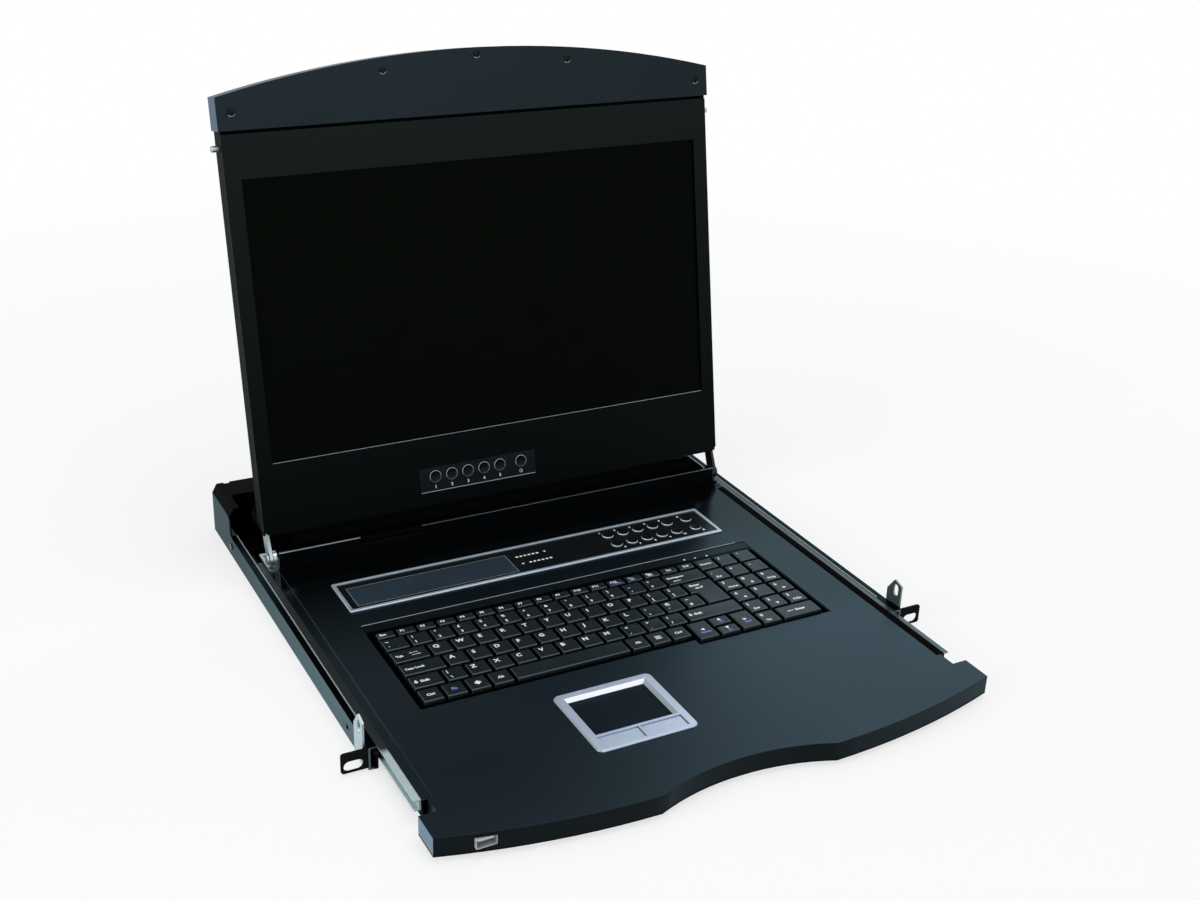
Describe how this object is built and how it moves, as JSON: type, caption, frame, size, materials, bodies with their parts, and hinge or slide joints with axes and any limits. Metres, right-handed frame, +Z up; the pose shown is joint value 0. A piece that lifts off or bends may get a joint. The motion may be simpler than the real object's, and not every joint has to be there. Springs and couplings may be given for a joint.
{
  "type": "rackmount lcd console drawer",
  "caption": "Rack drawer with keyboard, touchpad and port buttons on a sliding tray, and a screen in a hinged lid with an arched cap, in a flat chassis with slotted rack ears.",
  "frame": {"origin": "midway between the two rack ear slots, on the ears' front face", "axes": "+X to the viewer's right, +Y to the rear of the rack, +Z up; the drawer slides out along -Y"},
  "size_m": [0.4826, 0.5214, 0.4103],
  "materials": {
    "chassis_black": "fine black powder coat",
    "zinc_steel": "zinc plated, satin",
    "rail_black": "black oxide",
    "screw_black": "black oxide",
    "deck_black": "fine textured black powder coat with a blue-grey sheen",
    "bar_black": "satin black paint",
    "matt_guard": "matt black",
    "lid_black": "fine textured black powder coat",
    "screen": "dark semi-gloss screen surface",
    "fascia_gloss": "dark gloss membrane",
    "button_black": "satin black with a light rim",
    "silver_plastic": "silver painted plastic",
    "pad_dark": "fine matt",
    "key_black": "satin black key caps, light legends",
    "keyboard_frame": "matt black",
    "port_metal": "nickel plated",
    "circuit": "green solder mask"
  },
  "bodies": {
    "chassis": {"side_plate_left": "chassis_black", "side_plate_right": "chassis_black", "rear_floor": "chassis_black", "rear_top_plate": "chassis_black", "rear_panel": "chassis_black", "rear_ports": "port_metal", "power_jack": "port_metal", "switch_board": "circuit", "outer_rail_left": "zinc_steel", "outer_rail_right": "zinc_steel", "rack_ear_left": "chassis_black", "rack_ear_right": "chassis_black", "ear_blade_left": "zinc_steel", "ear_blade_right": "zinc_steel", "rail_screws": "screw_black"},
    "middle_rails": {"middle_rail_left": "rail_black", "middle_rail_right": "rail_black"},
    "drawer": {"inner_rail_left": "zinc_steel", "inner_rail_right": "zinc_steel", "tray_pan": "chassis_black", "deck_cover": "deck_black", "hinge_block": "deck_black", "hinge_bar": "bar_black", "cable_guard": "matt_guard", "hinge_bracket_left": "zinc_steel", "hinge_bracket_right": "zinc_steel", "hinge_pins": "zinc_steel", "keyboard_base": "keyboard_frame", "strip_frame": "silver_plastic", "strip_fascia": "fascia_gloss", "touchpad_frame": "silver_plastic", "touchpad_surface": "pad_dark", "usb_port": "port_metal"},
    "lid": {"lid_back_cover": "lid_black", "lid_bezel": "lid_black", "lcd_panel": "screen", "lid_cap": "lid_black", "cap_screws": "screw_black", "menu_strip": "fascia_gloss", "hinge_arms": "zinc_steel"},
    "keys_function_row": {"keys_function_row": "key_black"},
    "keys_number_row": {"keys_number_row": "key_black"},
    "keys_upper_row": {"keys_upper_row": "key_black"},
    "keys_home_row": {"keys_home_row": "key_black"},
    "keys_lower_row": {"keys_lower_row": "key_black"},
    "keys_bottom_row": {"keys_bottom_row": "key_black"},
    "space_bar": {"space_bar": "key_black"},
    "enter_key": {"enter_key": "key_black"},
    "arrow_keys": {"arrow_keys": "key_black"},
    "number_pad": {"number_pad": "key_black"},
    "strip_buttons_back": {"strip_buttons_back": "button_black"},
    "strip_buttons_front": {"strip_buttons_front": "button_black"},
    "touchpad_button_left": {"touchpad_button_left": "silver_plastic"},
    "touchpad_button_right": {"touchpad_button_right": "silver_plastic"},
    "menu_buttons": {"menu_buttons": "button_black"},
    "power_button": {"power_button": "button_black"},
    "latch_pin_left": {"latch_pin_left": "zinc_steel"},
    "latch_pin_right": {"latch_pin_right": "zinc_steel"}
  },
  "joints": [
    {"name": "drawer_slide", "type": "slide", "parent": "chassis", "child": "drawer", "axis": [0, -1, 0], "range_m": [-0.078, 0.29]},
    {"name": "middle_slide", "type": "slide", "parent": "chassis", "child": "middle_rails", "axis": [0, -1, 0], "range_m": [-0.039, 0.145]},
    {"name": "lid_hinge", "type": "hinge", "parent": "drawer", "child": "lid", "pos_m": [0, 0.2647, 0.0201], "axis": [1, 0, 0], "range_deg": [-5, 100.44]},
    {"name": "keys_function_row_press", "type": "slide", "parent": "drawer", "child": "keys_function_row", "axis": [0, 0, -1], "range_m": [0, 0.0018], "stiffness_N_per_m": 400, "springref_m": -0.002},
    {"name": "keys_number_row_press", "type": "slide", "parent": "drawer", "child": "keys_number_row", "axis": [0, 0, -1], "range_m": [0, 0.0018], "stiffness_N_per_m": 400, "springref_m": -0.002},
    {"name": "keys_upper_row_press", "type": "slide", "parent": "drawer", "child": "keys_upper_row", "axis": [0, 0, -1], "range_m": [0, 0.0018], "stiffness_N_per_m": 400, "springref_m": -0.002},
    {"name": "keys_home_row_press", "type": "slide", "parent": "drawer", "child": "keys_home_row", "axis": [0, 0, -1], "range_m": [0, 0.0018], "stiffness_N_per_m": 400, "springref_m": -0.002},
    {"name": "keys_lower_row_press", "type": "slide", "parent": "drawer", "child": "keys_lower_row", "axis": [0, 0, -1], "range_m": [0, 0.0018], "stiffness_N_per_m": 400, "springref_m": -0.002},
    {"name": "keys_bottom_row_press", "type": "slide", "parent": "drawer", "child": "keys_bottom_row", "axis": [0, 0, -1], "range_m": [0, 0.0018], "stiffness_N_per_m": 400, "springref_m": -0.002},
    {"name": "space_bar_press", "type": "slide", "parent": "drawer", "child": "space_bar", "axis": [0, 0, -1], "range_m": [0, 0.0018], "stiffness_N_per_m": 400, "springref_m": -0.002},
    {"name": "enter_key_press", "type": "slide", "parent": "drawer", "child": "enter_key", "axis": [0, 0, -1], "range_m": [0, 0.0018], "stiffness_N_per_m": 400, "springref_m": -0.002},
    {"name": "arrow_keys_press", "type": "slide", "parent": "drawer", "child": "arrow_keys", "axis": [0, 0, -1], "range_m": [0, 0.0018], "stiffness_N_per_m": 400, "springref_m": -0.002},
    {"name": "number_pad_press", "type": "slide", "parent": "drawer", "child": "number_pad", "axis": [0, 0, -1], "range_m": [0, 0.0018], "stiffness_N_per_m": 400, "springref_m": -0.002},
    {"name": "strip_buttons_back_press", "type": "slide", "parent": "drawer", "child": "strip_buttons_back", "axis": [0, 0, -1], "range_m": [0, 0.0007], "stiffness_N_per_m": 500, "springref_m": -0.001},
    {"name": "strip_buttons_front_press", "type": "slide", "parent": "drawer", "child": "strip_buttons_front", "axis": [0, 0, -1], "range_m": [0, 0.0007], "stiffness_N_per_m": 500, "springref_m": -0.001},
    {"name": "touchpad_button_left_press", "type": "slide", "parent": "drawer", "child": "touchpad_button_left", "axis": [0, 0, -1], "range_m": [0, 0.0007], "stiffness_N_per_m": 500, "springref_m": -0.001},
    {"name": "touchpad_button_right_press", "type": "slide", "parent": "drawer", "child": "touchpad_button_right", "axis": [0, 0, -1], "range_m": [0, 0.0007], "stiffness_N_per_m": 500, "springref_m": -0.001},
    {"name": "menu_buttons_press", "type": "slide", "parent": "lid", "child": "menu_buttons", "axis": [0, 0.9834, -0.1812], "range_m": [0, 0.0008], "stiffness_N_per_m": 500, "springref_m": -0.001},
    {"name": "power_button_press", "type": "slide", "parent": "lid", "child": "power_button", "axis": [0, 0.9834, -0.1812], "range_m": [0, 0.0008], "stiffness_N_per_m": 500, "springref_m": -0.001},
    {"name": "latch_pin_left_draw", "type": "slide", "parent": "lid", "child": "latch_pin_left", "axis": [1, 0, 0], "range_m": [0, 0.006], "stiffness_N_per_m": 300, "springref_m": -0.003},
    {"name": "latch_pin_right_draw", "type": "slide", "parent": "lid", "child": "latch_pin_right", "axis": [-1, 0, 0], "range_m": [0, 0.006], "stiffness_N_per_m": 300, "springref_m": -0.003}
  ],
  "couplings": [
    {"joint": "middle_slide", "follows": "drawer_slide", "ratio": 0.5}
  ]
}
